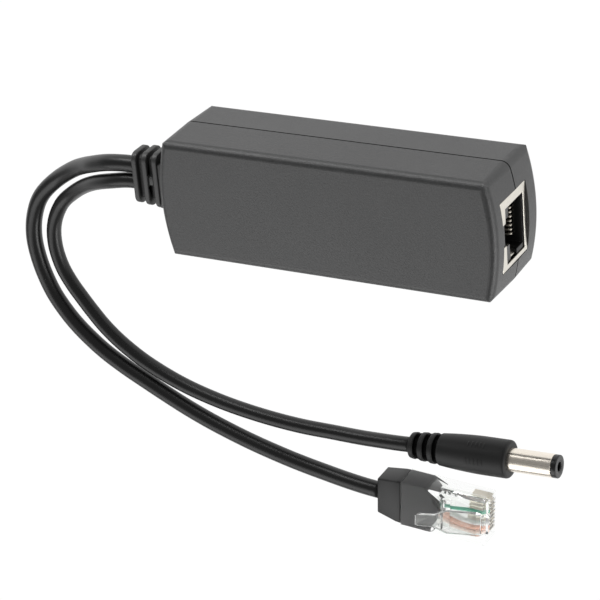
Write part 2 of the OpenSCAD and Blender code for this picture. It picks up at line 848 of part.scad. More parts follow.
// Plan outline of the fill inside the clear body, grown by g
module fill_plan(g) {
    polygon([[boot_l - over, -fill_w / 2 - g], [boot_l + fill_l - 3.6, -fill_w / 2 - g],
        [boot_l + fill_l + g, -fill_tip_w / 2 - g], [boot_l + fill_l + g, fill_tip_w / 2 + g],
        [boot_l + fill_l - 3.6, fill_w / 2 + g], [boot_l - over, fill_w / 2 + g]]);
}

module fill_form(g) {
    translate([0, 0, fill_z - g]) linear_extrude(fill_h + 2 * g) fill_plan(g);
}

module latch() {
    tip_z = plug_h + latch_rise;
    tip_x = latch_tip_x;
    intersection() {
        rotate([90, 0, 0])
            linear_extrude(latch_w + over, center = true)
                polygon([[tip_x, tip_z], [tip_x, tip_z - latch_t],
                    [latch_root_x - 2.4, plug_h + 0.3], [latch_root_x - 1.2, plug_h],
                    [latch_root_x - 0.9, plug_h - 0.4], [latch_root_x, plug_h - 0.4],
                    [latch_root_x, plug_h + 0.5], [latch_root_x - 0.8, plug_h + 1],
                    [latch_root_x - 2.2, plug_h + 0.4 + latch_t]]);
        translate([0, 0, plug_h - 1])
            linear_extrude(latch_rise + 2)
                polygon([[tip_x, latch_bevel - latch_tip_w / 2],
                    [tip_x + latch_bevel, -latch_tip_w / 2], [latch_neck_x, -latch_tip_w / 2],
                    [latch_waist_x, -latch_w / 2], [nose_x, -latch_w / 2], [nose_x, latch_w / 2],
                    [latch_waist_x, latch_w / 2], [latch_neck_x, latch_tip_w / 2],
                    [tip_x + latch_bevel, latch_tip_w / 2], [tip_x, latch_tip_w / 2 - latch_bevel]]);
    }
}

module data_plug_body() {
    chamfer = 0.5;
    color([0.9, 0.93, 0.95, 0.4])
        data_plug_place() {
            difference() {
                rotate([90, 0, 0])
                    linear_extrude(plug_w, center = true)
                        polygon([[boot_l, 0], [nose_x - chamfer, 0], [nose_x, chamfer],
                            [nose_x, plug_h - chamfer], [nose_x - chamfer, plug_h],
                            [boot_l, plug_h]]);
                fill_form(0);
                block([boot_l + fill_l - 1, -wire_bay_w / 2, wire_z - wire_d / 2],
                    [wire_end, wire_bay_w / 2, wire_z + wire_d / 2]);
                for (pin = [1:8])
                    block([blade_x, pin_y(pin) - blade_t / 2, -over],
                        [blade_x + blade_l, pin_y(pin) + blade_t / 2, wire_z - wire_d / 4]);
                translate([boot_l + fill_l + 1.6, 0, plug_h])
                    cube([2.2, 8, 2.6], center = true);
            }
            latch();
        }
}

module data_plug_boot() {
    rear_w = 9.6;
    color("#2b2c2d")
        data_plug_place() {
            intersection() {
                linear_extrude(plug_h)
                    polygon([[0, -rear_w / 2], [boot_l * 0.8, -plug_w / 2 + 0.2],
                        [boot_l, -plug_w / 2 + 0.1], [boot_l, plug_w / 2 - 0.1],
                        [boot_l * 0.8, plug_w / 2 - 0.2], [0, rear_w / 2]]);
                rotate([90, 0, 0])
                    linear_extrude(plug_w, center = true)
                        polygon([[0, 1], [boot_l * 0.7, 0.1], [boot_l, 0.1], [boot_l, plug_h - 0.1],
                            [boot_l * 0.7, plug_h - 0.1], [0, plug_h - 0.8]]);
            }
            fill_form(0);
        }
}

module data_plug_contacts() {
    color("#dcae45")
        data_plug_place()
            for (pin = [1:8])
                block([blade_x, pin_y(pin) - blade_t / 2, blade_z],
                    [blade_x + blade_l, pin_y(pin) + blade_t / 2, wire_z - wire_d / 2]);
}

module plug_wire(pin) {
    data_plug_place()
        translate([boot_l + fill_l, pin_y(pin), wire_z])
            rotate([0, 90, 0])
                cylinder(d = wire_d, h = wire_end - boot_l - fill_l, $fn = 24);
}

module plug_wire_1() {
    color("#f0d9c8") plug_wire(1);
}

module plug_wire_2() {
    color("#e8712a") plug_wire(2);
}

module plug_wire_3() {
    color("#dfeee2") plug_wire(3);
}

module plug_wire_6() {
    color("#1f8a5a") plug_wire(6);
}

top_shell();
bottom_shell();
circuit_board();
jack_shield();
jack_insert();
jack_contacts();
network_transformer();
power_transformer_core();
power_transformer_bobbin();
power_transformer_winding();
input_capacitor();
output_capacitors();
bridge_rectifiers();
controller_chip();
opto_isolator();
output_diode();
output_inductor();
ceramic_capacitors();
chip_resistors();
data_leads();
power_leads();
cable_gland();
data_cable();
dc_cable();
dc_plug_grip();
dc_plug_sleeve();
dc_plug_insulator();
dc_plug_inner_contact();
data_plug_body();
data_plug_boot();
data_plug_contacts();
plug_wire_1();
plug_wire_2();
plug_wire_3();
plug_wire_6();
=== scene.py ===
import math

import bmesh
import bpy
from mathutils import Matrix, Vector


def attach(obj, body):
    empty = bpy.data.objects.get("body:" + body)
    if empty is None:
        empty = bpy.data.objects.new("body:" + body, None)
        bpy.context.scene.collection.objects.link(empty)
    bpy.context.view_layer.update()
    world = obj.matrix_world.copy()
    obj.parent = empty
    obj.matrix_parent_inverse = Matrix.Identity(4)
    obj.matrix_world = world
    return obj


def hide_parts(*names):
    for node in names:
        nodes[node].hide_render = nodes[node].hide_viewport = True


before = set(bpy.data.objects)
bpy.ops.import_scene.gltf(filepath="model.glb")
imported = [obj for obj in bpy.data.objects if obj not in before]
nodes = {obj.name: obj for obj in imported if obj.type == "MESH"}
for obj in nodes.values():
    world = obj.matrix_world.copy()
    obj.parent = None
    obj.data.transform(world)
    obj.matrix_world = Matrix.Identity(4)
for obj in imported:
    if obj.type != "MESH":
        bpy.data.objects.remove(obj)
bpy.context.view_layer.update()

MM = 0.001

# Camera: where it stands, what it points at, and its turn about the line of sight
CAMERA_AT = (0.2373, 0.2252, 0.4549)
CAMERA_AIM = (-0.013771, -0.026667, 0.01201)
CAMERA_ROLL = 5.0
CAMERA_LENS = 150.5
SENSOR_WIDTH = 36
CLIP = (0.01, 20)

# Cords: the routes that part.scad gives, here in millimetres and made metres below
CORD_PITCH = 4.1
GLAND_END = -52.2
GLAND_Z = 12.7
DATA_ROUTE = [
    (GLAND_END, CORD_PITCH / 2, GLAND_Z),
    (-56, 1.9, 12.5), (-60.5, 1.2, 11.8), (-64, 0.1, 10.5), (-67.5, -1.3, 8.9), (-72, -3.4, 6.3),
    (-76.5, -5.8, 4.1), (-82, -9.4, 2.3), (-86.2, -12.9, 2), (-88.8, -16, 2), (-90.5, -19.5, 2),
    (-91.6, -23.5, 2), (-91.9, -28, 2), (-91.2, -33, 2), (-89.9, -37.5, 2), (-88.2, -41.5, 2),
    (-86, -45, 2), (-83.5, -48.2, 2), (-80.2, -51.5, 2), (-75.5, -55.3, 2), (-70, -58.7, 2),
    (-64.5, -61.6, 2), (-59, -64.4, 2), (-53.6, -67, 2), (-48.2, -69.3, 2), (-42.5, -71.4, 2),
    (-36, -73.5, 2), (-29, -75.4, 2), (-22.5, -76.9, 2), (-16.5, -77.9, 2.2), (-10.5, -78.5, 2.8),
    (-5, -78.8, 3.4), (-1, -79, 3.6)]
POWER_ROUTE = [
    (GLAND_END, -CORD_PITCH / 2, GLAND_Z),
    (-56, -2.3, 12.5), (-61, -3.6, 11.5), (-67, -5.9, 8.9), (-73, -9.1, 5.5), (-78.3, -12.7, 2.9),
    (-82, -15.8, 1.9), (-84, -18.6, 1.8), (-85.3, -21.4, 1.8), (-86, -24.1, 1.8),
    (-86.2, -27, 1.8), (-85.9, -30.2, 1.8), (-84.8, -34.1, 1.8), (-82.8, -37.9, 1.8),
    (-80.2, -41.6, 1.8), (-77.6, -45, 1.8), (-74.9, -48.2, 1.8), (-71.6, -51.3, 1.8),
    (-68, -54, 1.8), (-63.8, -56.6, 1.8), (-58.2, -59.3, 1.8), (-52.4, -61.5, 1.8),
    (-45.5, -63.4, 1.8), (-38.5, -64.8, 1.8), (-30.3, -65.9, 1.8), (-22, -66.5, 1.8),
    (-14, -66.5, 1.9), (-6.5, -66.1, 2.6), (-1, -65.4, 3.5), (4, -64.7, 4.3), (8.4, -64.3, 4.5)]
DATA_D = 4.0
POWER_D = 3.6
DATA_YAW = -4.0
POWER_YAW = 2.2


def link(item):
    bpy.context.scene.collection.objects.link(item)
    return item


def make_camera():
    """Camera with the picture's up along +Y, turned by its roll."""
    data = bpy.data.cameras.new("camera")
    camera = link(bpy.data.objects.new("camera", data))
    data.sensor_width = SENSOR_WIDTH
    data.lens = CAMERA_LENS
    data.clip_start, data.clip_end = CLIP
    back = (Vector(CAMERA_AT) - Vector(CAMERA_AIM)).normalized()
    right = Vector((0, 1, 0)).cross(back).normalized()
    up = back.cross(right)
    roll = math.radians(CAMERA_ROLL)
    right, up = (right * math.cos(roll) - up * math.sin(roll),
                 right * math.sin(roll) + up * math.cos(roll))
    matrix = camera.matrix_world.copy()
    for row in range(3):
        matrix[row][0], matrix[row][1], matrix[row][2] = right[row], up[row], back[row]
        matrix[row][3] = CAMERA_AT[row]
    camera.matrix_world = matrix
    bpy.context.scene.camera = camera


make_camera()


# Shader helpers
TONE_VARY = 0.08
ROUGH_VARY = 0.04
CLOUD_SCALE = 60


def new_material(name):
    material = bpy.data.materials.new(name)
    material.use_nodes = True
    tree = material.node_tree
    return material, tree, tree.nodes["Principled BSDF"]


def grey(level, warmth=0.0):
    return (level * (1 + warmth), level, level * (1 - warmth), 1)


def opaque(colour, factor=1.0):
    return tuple(c * factor for c in colour) + (1,)


def object_coords(tree, scale=(1, 1, 1)):
    coords = tree.nodes.new("ShaderNodeTexCoord")
    mapping = tree.nodes.new("ShaderNodeMapping")
    mapping.inputs["Scale"].default_value = scale
    tree.links.new(coords.outputs["Object"], mapping.inputs["Vector"])
    return mapping.outputs["Vector"]


def object_z(tree, vector):
    split = tree.nodes.new("ShaderNodeSeparateXYZ")
    tree.links.new(vector, split.inputs["Vector"])
    return split.outputs["Z"]


def noise(tree, vector, scale, detail, roughness=0.5):
    node = tree.nodes.new("ShaderNodeTexNoise")
    node.inputs["Scale"].default_value = scale
    node.inputs["Detail"].default_value = detail
    node.inputs["Roughness"].default_value = roughness
    tree.links.new(vector, node.inputs["Vector"])
    return node.outputs["Fac"]


def ramp(tree, value, low, high, ends=(0.3, 0.7)):
    """Colour that goes from low to high while value goes from the first end to the second."""
    node = tree.nodes.new("ShaderNodeValToRGB")
    tree.links.new(value, node.inputs["Fac"])
    for element, place, colour in zip(node.color_ramp.elements, ends, (low, high)):
        element.position = place
        element.color = colour
    return node.outputs["Color"]


def spread(tree, value, low, high, start=0.0, end=1.0):
    """Number that goes from low to high while value goes from start to end."""
    node = tree.nodes.new("ShaderNodeMapRange")
    tree.links.new(value, node.inputs["Value"])
    node.inputs["From Min"].default_value = start
    node.inputs["From Max"].default_value = end
    node.inputs["To Min"].default_value = low
    node.inputs["To Max"].default_value = high
    return node.outputs["Result"]


def math_node(tree, operation, first, second=None):
    """Result of a Math node on a socket and, where given, a second socket or number."""
    node = tree.nodes.new("ShaderNodeMath")
    node.operation = operation
    tree.links.new(first, node.inputs[0])
    if isinstance(second, bpy.types.NodeSocket):
        tree.links.new(second, node.inputs[1])
    elif second is not None:
        node.inputs[1].default_value = second
    return node.outputs["Value"]


def mix_shaders(tree, factor, first, second, output):
    """Shows the first shader where factor is 0 and the second where it is 1."""
    mix = tree.nodes.new("ShaderNodeMixShader")
    tree.links.new(factor, mix.inputs["Fac"])
    tree.links.new(first, mix.inputs[1])
    tree.links.new(second, mix.inputs[2])
    tree.links.new(mix.outputs["Shader"], tree.nodes[output].inputs["Surface"])


def bump(tree, shader, height, distance):
    node = tree.nodes.new("ShaderNodeBump")
    node.inputs["Distance"].default_value = distance
    node.inputs["Strength"].default_value = 1.0
    tree.links.new(height, node.inputs["Height"])
    tree.links.new(node.outputs["Normal"], shader.inputs["Normal"])


# Materials
CASE_DARK = 0.026
CASE_LIGHT = 0.052
CASE_WARMTH = -0.01
CASE_SPECULAR = 0.56
CASE_ROUGH = (0.34, 0.41)
CASE_CLOUD_SCALE = 45
CASE_GRAIN_SCALE = 2600
CASE_GRAIN_DEPTH = 0.07 * MM
CASE_GRAIN_ENDS = (0.25, 0.75)
# Painted shade in the parting groove: its height, the soft edge of the band and its dark grey
SEAM_Z = 11.75 * MM
SEAM_EDGE = (0.16 * MM, 0.22 * MM)
SEAM_SHADE_LEVEL = 0.004
CLEAR_TINT = (0.90, 0.91, 0.895)
CLEAR_SHADOW = (0.85, 0.86, 0.85)
CLEAR_IOR = 1.42
CLEAR_ROUGH = (0.0, 0.04)
CLEAR_FLOW_SCALE = 700
CLEAR_FLOW_DEPTH = 0.01 * MM
LATCH_Z = (6.8 * MM, 7.2 * MM)
LATCH_MILK = 0.1
STREAK_STRETCH = (0.2, 1, 1)
STREAK_SCALE = 1500
STREAK_DARKER = 0.85
STREAK_ROUGH = 0.35
MARK_DARKER = 0.9
MARK_ROUGH = (0.8, 1.25)


def plastic(name, level, rough, grain_scale, grain_depth, specular=0.5):
    """Moulded plastic: a fine grain in bump, with a little change of tone and gloss over it."""
    material, tree, shader = new_material(name)
    vector = object_coords(tree)
    cloud = noise(tree, vector, CLOUD_SCALE, 3)
    tone = ramp(tree, cloud, grey(level * (1 - TONE_VARY)), grey(level * (1 + TONE_VARY)))
    tree.links.new(tone, shader.inputs["Base Color"])
    gloss = spread(tree, cloud, rough - ROUGH_VARY, rough + ROUGH_VARY)
    tree.links.new(gloss, shader.inputs["Roughness"])
    shader.inputs["Specular IOR Level"].default_value = specular
    bump(tree, shader, noise(tree, vector, grain_scale, 2, 0.6), grain_depth)
    return material


def case_plastic():
    """Matte moulding: a fine grain that shows as tone and bump, and painted shade in the seam: a
    dark line without gloss.
    """
    material, tree, shader = new_material("case")
    vector = object_coords(tree)
    cloud = noise(tree, vector, CASE_CLOUD_SCALE, 3)
    grain = noise(tree, vector, CASE_GRAIN_SCALE, 3, 0.7)
    tone = ramp(tree, grain, grey(CASE_DARK, CASE_WARMTH), grey(CASE_LIGHT, CASE_WARMTH),
                CASE_GRAIN_ENDS)
    # Painted shade: the colour goes dark and the gloss goes to nothing in a narrow band round the
    # seam, standing in for the groove's shade
    above = math_node(tree, "SUBTRACT", object_z(tree, vector), SEAM_Z)
    away = math_node(tree, "ABSOLUTE", above)
    outside = spread(tree, away, 0, 1, *SEAM_EDGE)
    mix = tree.nodes.new("ShaderNodeMix")
    mix.data_type = "RGBA"
    mix.inputs["A"].default_value = grey(SEAM_SHADE_LEVEL)
    tree.links.new(outside, mix.inputs["Factor"])
    tree.links.new(tone, mix.inputs["B"])
    tree.links.new(mix.outputs["Result"], shader.inputs["Base Color"])
    gloss = math_node(tree, "MULTIPLY", outside, CASE_SPECULAR)
    tree.links.new(gloss, shader.inputs["Specular IOR Level"])
    tree.links.new(spread(tree, cloud, *CASE_ROUGH), shader.inputs["Roughness"])
    bump(tree, shader, grain, CASE_GRAIN_DEPTH)
    return material


def clear_plastic():
    """Clear moulding that lets the lamps through, a little milky in the latch above the body."""
    material, tree, shader = new_material("clear")
    vector = object_coords(tree)
    flow = noise(tree, vector, CLEAR_FLOW_SCALE, 2)
    shader.inputs["Base Color"].default_value = opaque(CLEAR_TINT)
    shader.inputs["IOR"].default_value = CLEAR_IOR
    clearness = spread(tree, object_z(tree, vector), 1.0, 1.0 - LATCH_MILK, *LATCH_Z)
    tree.links.new(clearness, shader.inputs["Transmission Weight"])
    tree.links.new(spread(tree, flow, *CLEAR_ROUGH), shader.inputs["Roughness"])
    bump(tree, shader, flow, CLEAR_FLOW_DEPTH)
    rays = tree.nodes.new("ShaderNodeLightPath")
    open_to_light = tree.nodes.new("ShaderNodeBsdfTransparent")
    open_to_light.inputs["Color"].default_value = opaque(CLEAR_SHADOW)
    mix_shaders(tree, rays.outputs["Is Shadow Ray"], shader.outputs["BSDF"],
                open_to_light.outputs["BSDF"], "Material Output")
    return material


def coloured_plastic(name, colour):
    """Glossy coloured plastic with faint streaks along X."""
    material, tree, shader = new_material(name)
    streak = noise(tree, object_coords(tree, STREAK_STRETCH), STREAK_SCALE, 2)
    tree.links.new(ramp(tree, streak, opaque(colour, STREAK_DARKER), opaque(colour)),
                   shader.inputs["Base Color"])
    shader.inputs["Roughness"].default_value = STREAK_ROUGH
    return material


def metal(name, colour, rough, stretch=(1, 1, 1), brush_scale=900, depth=0.004 * MM):
    """Plated metal with fine marks, drawn out along an axis where stretch is small."""
    material, tree, shader = new_material(name)
    marks = noise(tree, object_coords(tree, stretch), brush_scale, 3, 0.6)
    tree.links.new(ramp(tree, marks, opaque(colour, MARK_DARKER), opaque(colour)),
                   shader.inputs["Base Color"])
    shader.inputs["Metallic"].default_value = 1.0
    gloss = spread(tree, marks, rough * MARK_ROUGH[0], rough * MARK_ROUGH[1])
    tree.links.new(gloss, shader.inputs["Roughness"])
    bump(tree, shader, marks, depth)
    return material


CASE = case_plastic()
GLAND = plastic("gland", 0.032, 0.42, 3800, 0.02 * MM, specular=0.6)
GRIP = plastic("grip", 0.016, 0.5, 3800, 0.02 * MM, specular=0.35)
BOOT = plastic("boot", 0.010, 0.42, 3800, 0.01 * MM, specular=0.45)
JACKET = plastic("jacket", 0.007, 0.34, 2200, 0.01 * MM, specular=0.42)
BLACK = plastic("black", 0.008, 0.3, 2600, 0.01 * MM)
FILL = plastic("fill", 0.006, 0.5, 2600, 0.01 * MM, specular=0.15)
# Near-black with little gloss: painted shade for the deep grip grooves and the bore's end
GROOVE_SHADE = plastic("groove", 0.003, 0.6, 2600, 0.01 * MM, specular=0.1)
NICKEL = metal("nickel", (0.95, 0.88, 0.78), 0.27, (0.01, 1, 1), 1400, 0.0005 * MM)
SHIELD = metal("shield", (0.80, 0.765, 0.69), 0.3)
CONTACT = metal("contact", (0.60, 0.56, 0.49), 0.4)
GOLD = metal("gold", (0.97, 0.91, 0.80), 0.5)
CLEAR = clear_plastic()
ORANGE = coloured_plastic("wire_2", (1.0, 0.48, 0.32))


# Mesh helpers
SHARP_ANGLE = math.radians(40)
TURNED_SHARP_ANGLE = math.radians(50)
BEVEL_ANGLE = math.radians(28)
FLAT_ANGLE = math.radians(0.6)
WELD = 0.002 * MM
CORNER_SHARE = 0.45
LEAST_CORNER = 0.01


def dress(name, material):
    materials = nodes[name].data.materials
    materials.clear()
    materials.append(material)


def ride(piece, slot, *replaced):
    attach(piece, "root")
    if replaced:
        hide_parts(*replaced)
    return piece


def unit_heading(yaw):
    return Vector((math.cos(math.radians(yaw)), math.sin(math.radians(yaw)), 0))


def smooth_route(route, step=1.2):
    """Points in metres along a smooth curve through the route's own points."""
    points = [Vector(p) for p in route]
    points = [2 * points[0] - points[1]] + points + [2 * points[-1] - points[-2]]
    out = []
    for i in range(1, len(points) - 2):
        p0, p1, p2, p3 = points[i - 1:i + 3]
        count = max(2, round((p2 - p1).length / step))
        for k in range(count):
            t = k / count
            out.append(0.5 * (2 * p1 + (p2 - p0) * t + (2 * p0 - 5 * p1 + 4 * p2 - p3) * t * t
                              + (3 * p1 - p0 - 3 * p2 + p3) * t ** 3))
    out.append(points[-2])
    return [p * MM for p in out]


def mesh_object(name, verts, faces, material, smooth=True):
    mesh = bpy.data.meshes.new(name)
    mesh.from_pydata([tuple(v) for v in verts], [], faces)
    mesh.materials.append(material)
    if smooth:
        mesh.shade_smooth()
    return link(bpy.data.objects.new(name, mesh))


def bmesh_object(name, mesh, material):
    data = bpy.data.meshes.new(name)
    mesh.to_mesh(data)
    mesh.free()
    data.materials.append(material)
    data.shade_smooth()
    data.set_sharp_from_angle(angle=SHARP_ANGLE)
    return link(bpy.data.objects.new(name, data))


def tube(name, path, radius, material, sides, start=None, end=None):
    """Closed tube in metres. Its ends face along start and end, or else along the path."""
    if start is None:
        start = (path[1] - path[0]).normalized()
    if end is None:
        end = (path[-1] - path[-2]).normalized()
    headings = [start] + [(b - a).normalized() for a, b in zip(path, path[2:])] + [end]
    verts, faces = [], []
    for p, along in zip(path, headings):
        side = Vector((0, 0, 1)).cross(along).normalized()
        top = along.cross(side)
        for j in range(sides):
            angle = 2 * math.pi * j / sides
            verts.append(p + radius * (math.cos(angle) * side + math.sin(angle) * top))
    for i in range(len(path) - 1):
        for j in range(sides):
            a, b = i * sides + j, i * sides + (j + 1) % sides
            faces.append((a, a + sides, b + sides, b))
    faces.append(tuple(range(sides)))
    last = (len(path) - 1) * sides
    faces.append(tuple(last + j for j in reversed(range(sides))))
    return mesh_object(name, verts, faces, material)


def softened(name, material, slot, width, segments=2, shape=None):
    """Copy of a solid with its flat faces joined and its edges rounded to width millimetres."""
    mesh = bmesh.new()
    mesh.from_mesh(nodes[name].data)
    bmesh.ops.transform(mesh, matrix=nodes[name].matrix_world, verts=mesh.verts)
    bmesh.ops.remove_doubles(mesh, verts=mesh.verts, dist=WELD)
    bmesh.ops.dissolve_limit(mesh, angle_limit=FLAT_ANGLE, verts=mesh.verts, edges=mesh.edges)
    if shape:
        for vert in mesh.verts:
            vert.co = shape(vert.co)
    edges = [e for e in mesh.edges if e.is_manifold and e.calc_face_angle(0) > BEVEL_ANGLE]
    bmesh.ops.bevel(mesh, geom=edges, offset=width * MM, segments=segments, profile=0.5,
                    affect="EDGES", clamp_overlap=True)
    bmesh.ops.triangulate(mesh, faces=[f for f in mesh.faces if len(f.verts) > 4])
    return ride(bmesh_object(name + "_look", mesh, material), slot, name)


def slab_mesh(name, place, outline, material, slot, *replaced, floor, edge):
    """Upright block over (x, y, top) points, in millimetres, with its edges rounded."""
    mesh = bmesh.new()
    low = [mesh.verts.new(place(x, y, floor)) for x, y, top in outline]
    high = [mesh.verts.new(place(x, y, top)) for x, y, top in outline]
    mesh.faces.new(list(reversed(low)))
    mesh.faces.new(high)
    n = len(outline)
    for i in range(n):
        mesh.faces.new((low[i], low[(i + 1) % n], high[(i + 1) % n], high[i]))
    bmesh.ops.recalc_face_normals(mesh, faces=mesh.faces)
    bmesh.ops.bevel(mesh, geom=list(mesh.edges), offset=edge * MM, segments=3, profile=0.5,
                    affect="EDGES", clamp_overlap=True)
    return ride(bmesh_object(name, mesh, material), slot, *replaced)


def on_axis(origin, yaw):
    """Turns local millimetres, x along the plug, into metres in the part's frame."""
    c, k = math.cos(math.radians(yaw)), math.sin(math.radians(yaw))

    def place(x, y, z):
        return Vector((origin[0] + x * c - y * k, origin[1] + x * k + y * c,
                       origin[2] + z)) * MM
    return place


on_power = on_axis(POWER_ROUTE[-1], POWER_YAW)
on_data = on_axis((DATA_ROUTE[-1][0], DATA_ROUTE[-1][1], 0), DATA_YAW)


def rounded_line(points, radius, steps=4):
    """Polyline (x, r) with its inner corners turned into short arcs."""
    out = [points[0]]
    for before, here, after in zip(points, points[1:], points[2:]):
        a = Vector(before) - Vector(here)
        b = Vector(after) - Vector(here)
        reach = min(radius, a.length * CORNER_SHARE, b.length * CORNER_SHARE)
        if reach < LEAST_CORNER:
            out.append(here)
            continue
        start = Vector(here) + a.normalized() * reach
        end = Vector(here) + b.normalized() * reach
        for k in range(steps + 1):
            t = k / steps
            out.append(tuple((1 - t) ** 2 * start + 2 * t * (1 - t) * Vector(here) + t * t * end))
    out.append(points[-1])
    return out


def turned(name, line, material, slot, *replaced, around=96, reshape=None, dark=None):
    """Power plug's surface of revolution of (x, r) pairs.

    reshape(x, r, angle) gives another radius, and dark(x, r) picks the strips that get the
    painted groove shade.
    """
    verts, faces = [], []
    for x, r in line:
        for j in range(around):
            a = 2 * math.pi * j / around
            radius = reshape(x, r, a) if reshape else r
            verts.append(on_power(x, radius * math.sin(a), radius * math.cos(a)))
    for i in range(len(line) - 1):
        for j in range(around):
            k = (j + 1) % around
            faces.append((i * around + j, i * around + k, (i + 1) * around + k,
                          (i + 1) * around + j))
    piece = mesh_object(name, verts, faces, material)
    # Second material slot: painted shade on the strips deep in the grooves
    if dark:
        piece.data.materials.append(GROOVE_SHADE)
        for i, ((x0, r0), (x1, r1)) in enumerate(zip(line, line[1:])):
            if dark((x0 + x1) / 2, (r0 + r1) / 2):
                for j in range(around):
                    piece.data.polygons[i * around + j].material_index = 1
    piece.data.set_sharp_from_angle(angle=TURNED_SHARP_ANGLE)
    return ride(piece, slot, *replaced)


# Cords
def make_cord_tubes():
    made = []
    for name, node, route, diameter, yaw in (
            ("data_cord", "data_cable", DATA_ROUTE, DATA_D, DATA_YAW),
            ("power_cord", "dc_cable", POWER_ROUTE, POWER_D, POWER_YAW)):
        radius = diameter / 2 * MM
        path = smooth_route(route)
        for point in path:
            point.z = max(point.z, radius)
        piece = tube(name, path, radius, JACKET, 32, start=Vector((-1, 0, 0)),
                     end=unit_heading(yaw))
        made.append((ride(piece, "cord", node), path, diameter * MM))
    return made


# Power plug, in millimetres from the grip's rear
GRIP_L = 24.9
GRIP_R = 4.45
GRIP_REAR_R = 3.1
GRIP_HOLE_R = 1.7
GRIP_FRONT_HOLE_R = 2.6
GRIP_EDGE_R = 1.0
REAR_CHAMFER = 0.1
GROOVES = 3
GROOVE_PITCH = 2.55
GROOVE_DEPTH = 1.1
GROOVE_DRAFT = 0.02
GROOVE_RISE_L = 1.2
RIB = 1.3
RIB_EDGE_R = 0.28
BODY_X = GROOVES * GROOVE_PITCH
BODY_R = (GRIP_R + GRIP_REAR_R) / 2
RISE = (BODY_R - GRIP_REAR_R) / BODY_X
SWELL_L = 10.8
SWELL_STEPS = 8
SWELL_POWER = 1.7
WEB_ANGLE = math.radians(120)
WEB_HALF = math.radians(38)
WEB_BLEND = math.radians(16)
WEB_DROP = 0.3
WEB_AHEAD = 0.6
WEB_LEAST_DEPTH = 0.35
DARK_LEAST_DEPTH = 0.3
RIDGE_ANGLES = (8, 62, 188, 242)
RIDGES = 5
RIDGE_X = 15.5
RIDGE_PITCH = 0.97
RIDGE_HALF_L = 0.9
RIDGE_HALF_W = 0.26
RIDGE_H = 0.13
RIDGE_SINK = 0.02

# Barrel: lines of (x from the barrel's end, radius)
BARREL_L = 10.5
BARREL_SINK = 0.5
BARREL_LINE = ((-BARREL_L - BARREL_SINK, 2.74), (0, 2.74), (0, 2.3))
TIP_LINE = ((0, 2.3), (0, 2.7), (1.3, 2.7), (1.3, 1.45), (1.0, 1.4), (1.0, 1.2))
RIM_LINE = ((0.8, 1.45), (1.27, 1.45), (1.27, 1.15), (0.9, 1.1))
BORE_LINE = ((0.95, 1.12), (-6, 1.05), (-6, 0.001))


def body_radius(t):
    """Radius of the smooth body, from t = 0 at the last groove to t = 1 at its full width."""
    return GRIP_R - (GRIP_R - BODY_R) * (1 - t) ** SWELL_POWER


def grip_line():
    """Profile of the grip: rear face, ribs and grooves, widening body, rounded front edge."""
    rear = [(0, GRIP_HOLE_R), (0, GRIP_REAR_R - REAR_CHAMFER)]
    for i in range(GROOVES):
        x = i * GROOVE_PITCH
        r = GRIP_REAR_R + RISE * (x + RIB)
        rear += [(x + RIB, r), (x + RIB + GROOVE_DRAFT, r - GROOVE_DEPTH),
                 (x + GROOVE_PITCH - GROOVE_DRAFT, r - GROOVE_DEPTH),
                 (x + GROOVE_PITCH, r + RISE * GROOVE_RISE_L)]
    swell = [(BODY_X + SWELL_L * k / SWELL_STEPS, body_radius(k / SWELL_STEPS))
             for k in range(1, SWELL_STEPS + 1)]
    front = [(GRIP_L - 2 * GRIP_EDGE_R, GRIP_R), (GRIP_L, GRIP_R), (GRIP_L, GRIP_FRONT_HOLE_R)]
    return rounded_line(rear, RIB_EDGE_R, 3) + swell + rounded_line(front, GRIP_EDGE_R, 8)


def with_webs(x, r, a):
    """Radius in a groove, raised nearly to the ribs at the two webs that bridge it."""
    i = int(x // GROOVE_PITCH)
    inside = x - i * GROOVE_PITCH - RIB
    rib_r = GRIP_REAR_R + RISE * (x + WEB_AHEAD)
    if i >= GROOVES or inside < 0 or r > rib_r - WEB_LEAST_DEPTH:
        return r
    turn = abs(math.remainder(a - WEB_ANGLE, math.pi))
    blend = max(0.0, min(1.0, (WEB_HALF - turn) / WEB_BLEND))
    return r + (rib_r - WEB_DROP - r) * blend


# Strips deep in a groove, which get painted shade
def in_groove(x, r):
    return RIB < x < BODY_X and r < GRIP_REAR_R + RISE * x - DARK_LEAST_DEPTH


def add_ridge(x, angle, verts, faces):
    """Adds a small finger ridge that lies round the grip at x."""
    r = body_radius(min(1, (x - BODY_X) / SWELL_L))
    first = len(verts)
    around, across = 12, 6
    for i in range(around + 1):
        u = 2 * i / around - 1
        a = angle + RIDGE_HALF_L / r * u
        for j in range(across + 1):
            v = 2 * j / across - 1
            radius = r + (RIDGE_H * max(0.0, (1 - u ** 4) * (1 - v ** 2)) - RIDGE_SINK)
            verts.append(on_power(x + RIDGE_HALF_W * v, radius * math.sin(a),
                                  radius * math.cos(a)))
    for i in range(around):
        for j in range(across):
            k = first + i * (across + 1) + j
            faces.append((k, k + 1, k + across + 2, k + across + 1))


def make_grip():
    return turned("grip", grip_line(), GRIP, "grip", "dc_plug_grip", around=128,
                  reshape=with_webs, dark=in_groove)


def make_ridges():
    verts, faces = [], []
    for angle in RIDGE_ANGLES:
        for i in range(RIDGES):
            add_ridge(RIDGE_X + RIDGE_PITCH * i, math.radians(angle), verts, faces)
    return ride(mesh_object("grip_ridges", verts, faces, GRIP), "grip")


def from_end(line, edge):
    """Line measured from the barrel's end, in the plug's own x and with rounded corners."""
    return rounded_line([(GRIP_L + BARREL_L + x, r) for x, r in line], edge)


